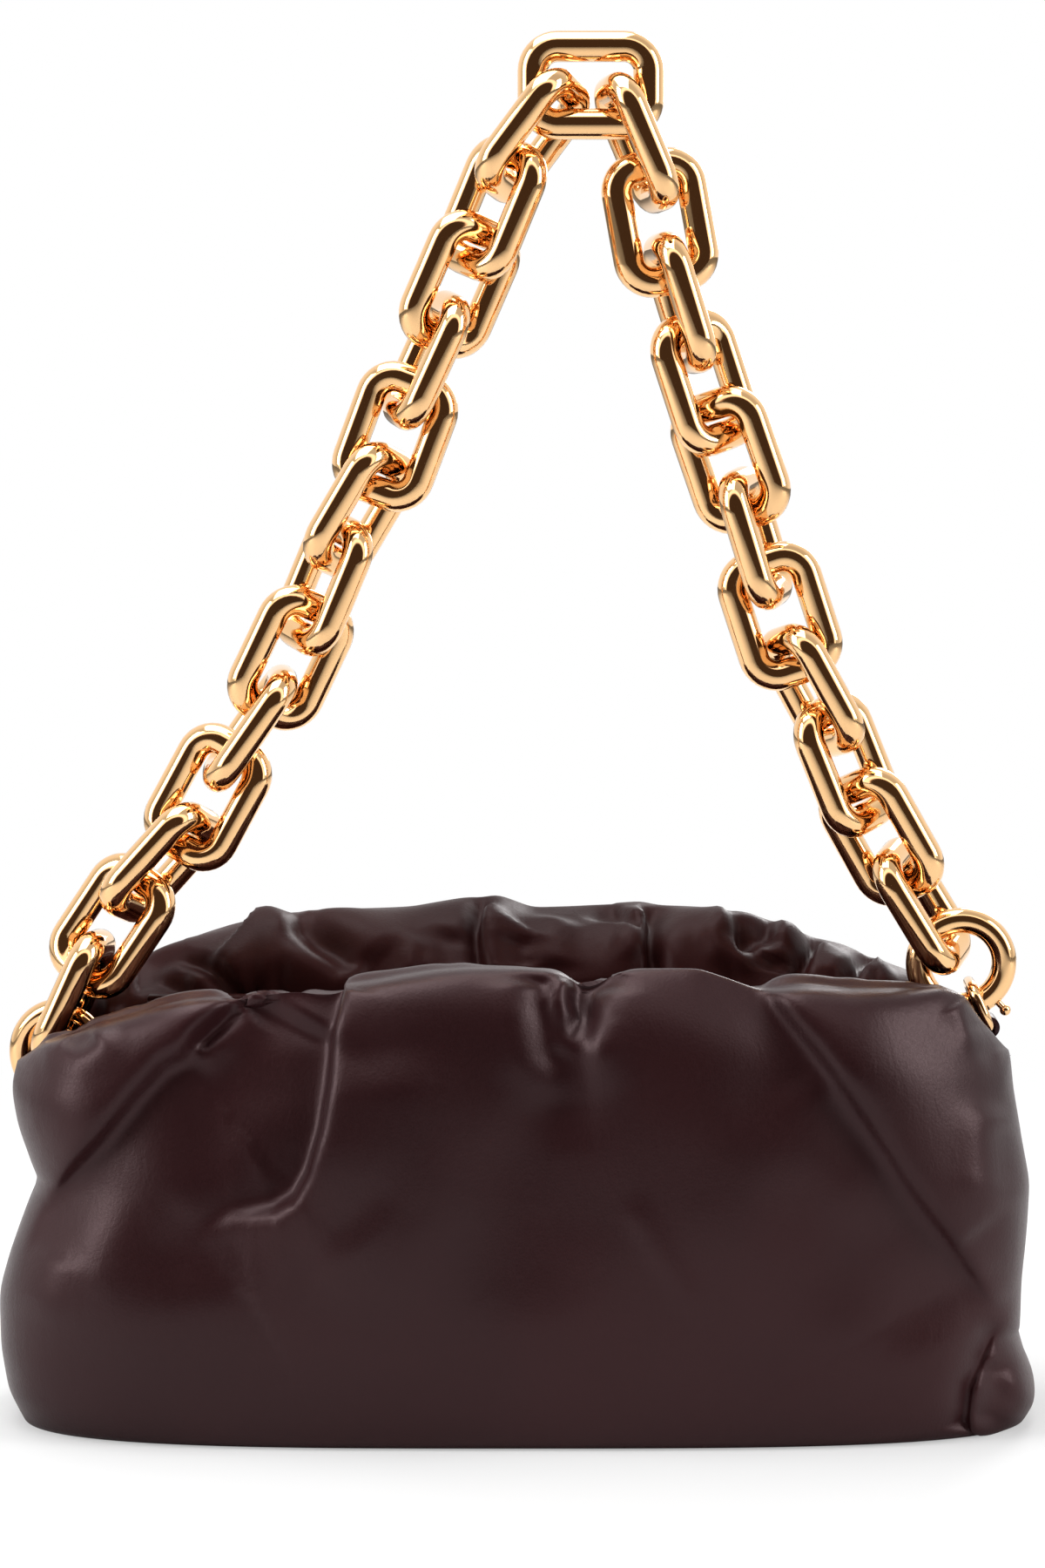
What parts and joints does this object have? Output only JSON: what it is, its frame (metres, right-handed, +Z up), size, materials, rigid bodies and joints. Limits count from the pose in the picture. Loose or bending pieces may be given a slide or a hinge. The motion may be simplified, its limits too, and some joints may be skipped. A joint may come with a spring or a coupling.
{
  "type": "chain shoulder bag",
  "caption": "Soft leather frame pouch with a gathered mouth, held by a chunky link chain on round spring clasps; the jaws open, the clasp bolts slide and the chain drapes.",
  "frame": {"origin": "middle of the footprint, on the floor under the base", "axes": "+Z up along the hanging chain, front faces -Y, +X to the viewer's right"},
  "size_m": [0.3096, 0.1215, 0.4158],
  "materials": {
    "leather": "soft satin nappa, burgundy brown",
    "facing": "satin nappa",
    "lining": "suede-like lining",
    "board": "plain board",
    "steel": "plain steel",
    "chain": "polished, gold plated",
    "clasp": "polished, gold plated"
  },
  "bodies": {
    "pouch": {"outer_front_panel": "leather", "outer_back_panel": "leather", "front_facing": "facing", "back_facing": "facing", "base_panel": "leather", "base_board": "board", "lining": "lining", "slip_pocket": "lining", "left_jaw_pin": "steel", "right_jaw_pin": "steel", "left_tab": "leather", "right_tab": "leather", "left_tab_rivet": "clasp", "right_tab_rivet": "clasp", "left_tab_ring": "clasp", "right_tab_ring": "clasp"},
    "front_jaw": {"front_jaw_bar": "steel", "front_magnet": "steel"},
    "back_jaw": {"back_jaw_bar": "steel", "back_magnet": "steel"},
    "left_clasp": {"left_clasp_tube": "clasp", "left_clasp_spring": "steel"},
    "left_bolt": {"left_clasp_bolt": "clasp", "left_clasp_lever": "clasp"},
    "right_clasp": {"right_clasp_tube": "clasp", "right_clasp_spring": "steel"},
    "right_bolt": {"right_clasp_bolt": "clasp", "right_clasp_lever": "clasp"},
    "left_link_body_1": {"left_link_1": "chain"},
    "left_link_body_2": {"left_link_2": "chain"},
    "left_link_body_3": {"left_link_3": "chain"},
    "left_link_body_4": {"left_link_4": "chain"},
    "left_link_body_5": {"left_link_5": "chain"},
    "left_link_body_6": {"left_link_6": "chain"},
    "left_link_body_7": {"left_link_7": "chain"},
    "left_link_body_8": {"left_link_8": "chain"},
    "left_link_body_9": {"left_link_9": "chain"},
    "left_link_body_10": {"left_link_10": "chain"},
    "left_link_body_11": {"left_link_11": "chain"},
    "left_link_body_12": {"left_link_12": "chain"},
    "left_link_body_13": {"left_link_13": "chain"},
    "right_link_body_1": {"right_link_1": "chain"},
    "right_link_body_2": {"right_link_2": "chain"},
    "right_link_body_3": {"right_link_3": "chain"},
    "right_link_body_4": {"right_link_4": "chain"},
    "right_link_body_5": {"right_link_5": "chain"},
    "right_link_body_6": {"right_link_6": "chain"},
    "right_link_body_7": {"right_link_7": "chain"},
    "right_link_body_8": {"right_link_8": "chain"},
    "right_link_body_9": {"right_link_9": "chain"},
    "right_link_body_10": {"right_link_10": "chain"},
    "right_link_body_11": {"right_link_11": "chain"},
    "top_link_body": {"top_link": "chain"}
  },
  "joints": [
    {"name": "chain_swing", "type": "hinge", "parent": "pouch", "child": "left_clasp", "pos_m": [-0.13672, 0, 0.10015], "axis": [0.9947, 0, 0.1026], "range_deg": [-12, 15]},
    {"name": "right_clasp_swing", "type": "hinge", "parent": "pouch", "child": "right_clasp", "pos_m": [0.13774, 0, 0.12847], "axis": [0.9947, 0, 0.1026], "range_deg": [-12.5, 15.5]},
    {"name": "chain_drape", "type": "hinge", "parent": "left_clasp", "child": "top_link_body", "pos_m": [-0.14927, 0, 0.22182], "axis": [0.9947, 0, 0.1026], "range_deg": [-15, 20]},
    {"name": "left_link_13_hang", "type": "hinge", "parent": "left_clasp", "child": "left_link_body_13", "pos_m": [-0.14, 0, 0.11546], "axis": [0.9947, 0, 0.1026], "range_deg": [-1.82, 2.36]},
    {"name": "left_link_12_hang", "type": "hinge", "parent": "left_clasp", "child": "left_link_body_12", "pos_m": [-0.12909, 0, 0.12812], "axis": [0.9947, 0, 0.1026], "range_deg": [-3.69, 4.85]},
    {"name": "left_link_11_hang", "type": "hinge", "parent": "left_clasp", "child": "left_link_body_11", "pos_m": [-0.11418, 0, 0.13734], "axis": [0.9947, 0, 0.1026], "range_deg": [-4.94, 6.53]},
    {"name": "left_link_10_hang", "type": "hinge", "parent": "left_clasp", "child": "left_link_body_10", "pos_m": [-0.09608, 0, 0.14655], "axis": [0.9947, 0, 0.1026], "range_deg": [-6.11, 8.08]},
    {"name": "left_link_9_hang", "type": "hinge", "parent": "left_clasp", "child": "left_link_body_9", "pos_m": [-0.08367, 0, 0.15603], "axis": [0.9947, 0, 0.1026], "range_deg": [-7.24, 9.59]},
    {"name": "left_link_8_hang", "type": "hinge", "parent": "left_clasp", "child": "left_link_body_8", "pos_m": [-0.06799, 0, 0.16564], "axis": [0.9947, 0, 0.1026], "range_deg": [-8.3, 11.01]},
    {"name": "left_link_7_hang", "type": "hinge", "parent": "left_clasp", "child": "left_link_body_7", "pos_m": [-0.05632, 0, 0.17566], "axis": [0.9947, 0, 0.1026], "range_deg": [-9.4, 12.46]},
    {"name": "left_link_6_hang", "type": "hinge", "parent": "left_clasp", "child": "left_link_body_6", "pos_m": [-0.04596, 0, 0.18524], "axis": [0.9947, 0, 0.1026], "range_deg": [-10.39, 13.78]},
    {"name": "left_link_5_hang", "type": "hinge", "parent": "left_clasp", "child": "left_link_body_5", "pos_m": [-0.03157, 0, 0.19518], "axis": [0.9947, 0, 0.1026], "range_deg": [-11.34, 15.06]},
    {"name": "left_link_4_hang", "type": "hinge", "parent": "left_clasp", "child": "left_link_body_4", "pos_m": [-0.02214, 0, 0.20507], "axis": [0.9947, 0, 0.1026], "range_deg": [-12.3, 16.34]},
    {"name": "left_link_3_hang", "type": "hinge", "parent": "left_clasp", "child": "left_link_body_3", "pos_m": [-0.01044, 0, 0.21496], "axis": [0.9947, 0, 0.1026], "range_deg": [-13.21, 17.55]},
    {"name": "left_link_2_hang", "type": "hinge", "parent": "left_clasp", "child": "left_link_body_2", "pos_m": [0.00068, 0, 0.22497], "axis": [0.9947, 0, 0.1026], "range_deg": [-14.11, 18.74]},
    {"name": "left_link_1_hang", "type": "hinge", "parent": "left_clasp", "child": "left_link_body_1", "pos_m": [0.01183, 0, 0.22565], "axis": [0.9947, 0, 0.1026], "range_deg": [-14.06, 18.68]},
    {"name": "right_link_11_hang", "type": "hinge", "parent": "left_clasp", "child": "right_link_body_11", "pos_m": [0.12857, 0, 0.14362], "axis": [0.9947, 0, 0.1026], "range_deg": [-1.77, 2.3]},
    {"name": "right_link_10_hang", "type": "hinge", "parent": "left_clasp", "child": "right_link_body_10", "pos_m": [0.11665, 0, 0.15479], "axis": [0.9947, 0, 0.1026], "range_deg": [-3.74, 4.93]},
    {"name": "right_link_9_hang", "type": "hinge", "parent": "left_clasp", "child": "right_link_body_9", "pos_m": [0.10555, 0, 0.1637], "axis": [0.9947, 0, 0.1026], "range_deg": [-5.34, 7.05]},
    {"name": "right_link_8_hang", "type": "hinge", "parent": "left_clasp", "child": "right_link_body_8", "pos_m": [0.0983, 0, 0.17288], "axis": [0.9947, 0, 0.1026], "range_deg": [-6.74, 8.92]},
    {"name": "right_link_7_hang", "type": "hinge", "parent": "left_clasp", "child": "right_link_body_7", "pos_m": [0.08715, 0, 0.18144], "axis": [0.9947, 0, 0.1026], "range_deg": [-8.03, 10.64]},
    {"name": "right_link_6_hang", "type": "hinge", "parent": "left_clasp", "child": "right_link_body_6", "pos_m": [0.08128, 0, 0.19094], "axis": [0.9947, 0, 0.1026], "range_deg": [-9.27, 12.3]},
    {"name": "right_link_5_hang", "type": "hinge", "parent": "left_clasp", "child": "right_link_body_5", "pos_m": [0.07556, 0, 0.20037], "axis": [0.9947, 0, 0.1026], "range_deg": [-10.45, 13.86]},
    {"name": "right_link_4_hang", "type": "hinge", "parent": "left_clasp", "child": "right_link_body_4", "pos_m": [0.06881, 0, 0.20964], "axis": [0.9947, 0, 0.1026], "range_deg": [-11.56, 15.34]},
    {"name": "right_link_3_hang", "type": "hinge", "parent": "left_clasp", "child": "right_link_body_3", "pos_m": [0.06257, 0, 0.21899], "axis": [0.9947, 0, 0.1026], "range_deg": [-12.63, 16.77]},
    {"name": "right_link_2_hang", "type": "hinge", "parent": "left_clasp", "child": "right_link_body_2", "pos_m": [0.05648, 0, 0.22847], "axis": [0.9947, 0, 0.1026], "range_deg": [-13.68, 18.17]},
    {"name": "right_link_1_hang", "type": "hinge", "parent": "left_clasp", "child": "right_link_body_1", "pos_m": [0.0537, 0, 0.24367], "axis": [0.9947, 0, 0.1026], "range_deg": [-15.29, 20.32]},
    {"name": "frame_open", "type": "hinge", "parent": "pouch", "child": "front_jaw", "pos_m": [0, 0, 0.07], "axis": [1, 0, 0], "range_deg": [0, 30], "deforming": ["front_facing", "back_facing", "lining", "slip_pocket"]},
    {"name": "back_jaw_open", "type": "hinge", "parent": "pouch", "child": "back_jaw", "pos_m": [0, 0, 0.07], "axis": [1, 0, 0], "range_deg": [-30.5, 0.5]},
    {"name": "left_bolt_retract", "type": "hinge", "parent": "left_clasp", "child": "left_bolt", "pos_m": [-0.1386, 0, 0.109], "axis": [0.2756, 0.9613, 0], "range_deg": [0, 42], "stiffness_Nm_per_rad": 0.05, "deforming": ["left_clasp_spring"]},
    {"name": "right_bolt_retract", "type": "hinge", "parent": "right_clasp", "child": "right_bolt", "pos_m": [0.1342, 0, 0.1368], "axis": [0, -1, 0], "range_deg": [0, 42], "stiffness_Nm_per_rad": 0.05, "deforming": ["right_clasp_spring"]}
  ],
  "couplings": [
    {"joint": "right_clasp_swing", "follows": "chain_swing", "ratio": 1},
    {"joint": "left_link_13_hang", "follows": "chain_drape", "ratio": 0.1082},
    {"joint": "left_link_12_hang", "follows": "chain_drape", "ratio": 0.2327},
    {"joint": "left_link_11_hang", "follows": "chain_drape", "ratio": 0.3163},
    {"joint": "left_link_10_hang", "follows": "chain_drape", "ratio": 0.3939},
    {"joint": "left_link_9_hang", "follows": "chain_drape", "ratio": 0.4695},
    {"joint": "left_link_8_hang", "follows": "chain_drape", "ratio": 0.5403},
    {"joint": "left_link_7_hang", "follows": "chain_drape", "ratio": 0.6131},
    {"joint": "left_link_6_hang", "follows": "chain_drape", "ratio": 0.6792},
    {"joint": "left_link_5_hang", "follows": "chain_drape", "ratio": 0.743},
    {"joint": "left_link_4_hang", "follows": "chain_drape", "ratio": 0.807},
    {"joint": "left_link_3_hang", "follows": "chain_drape", "ratio": 0.8674},
    {"joint": "left_link_2_hang", "follows": "chain_drape", "ratio": 0.9271},
    {"joint": "left_link_1_hang", "follows": "chain_drape", "ratio": 0.9242},
    {"joint": "right_link_11_hang", "follows": "chain_drape", "ratio": 0.1048},
    {"joint": "right_link_10_hang", "follows": "chain_drape", "ratio": 0.2363},
    {"joint": "right_link_9_hang", "follows": "chain_drape", "ratio": 0.3426},
    {"joint": "right_link_8_hang", "follows": "chain_drape", "ratio": 0.436},
    {"joint": "right_link_7_hang", "follows": "chain_drape", "ratio": 0.5219},
    {"joint": "right_link_6_hang", "follows": "chain_drape", "ratio": 0.605},
    {"joint": "right_link_5_hang", "follows": "chain_drape", "ratio": 0.683},
    {"joint": "right_link_4_hang", "follows": "chain_drape", "ratio": 0.7572},
    {"joint": "right_link_3_hang", "follows": "chain_drape", "ratio": 0.8286},
    {"joint": "right_link_2_hang", "follows": "chain_drape", "ratio": 0.8984},
    {"joint": "right_link_1_hang", "follows": "chain_drape", "ratio": 1.0059},
    {"joint": "back_jaw_open", "follows": "frame_open", "ratio": -1}
  ]
}
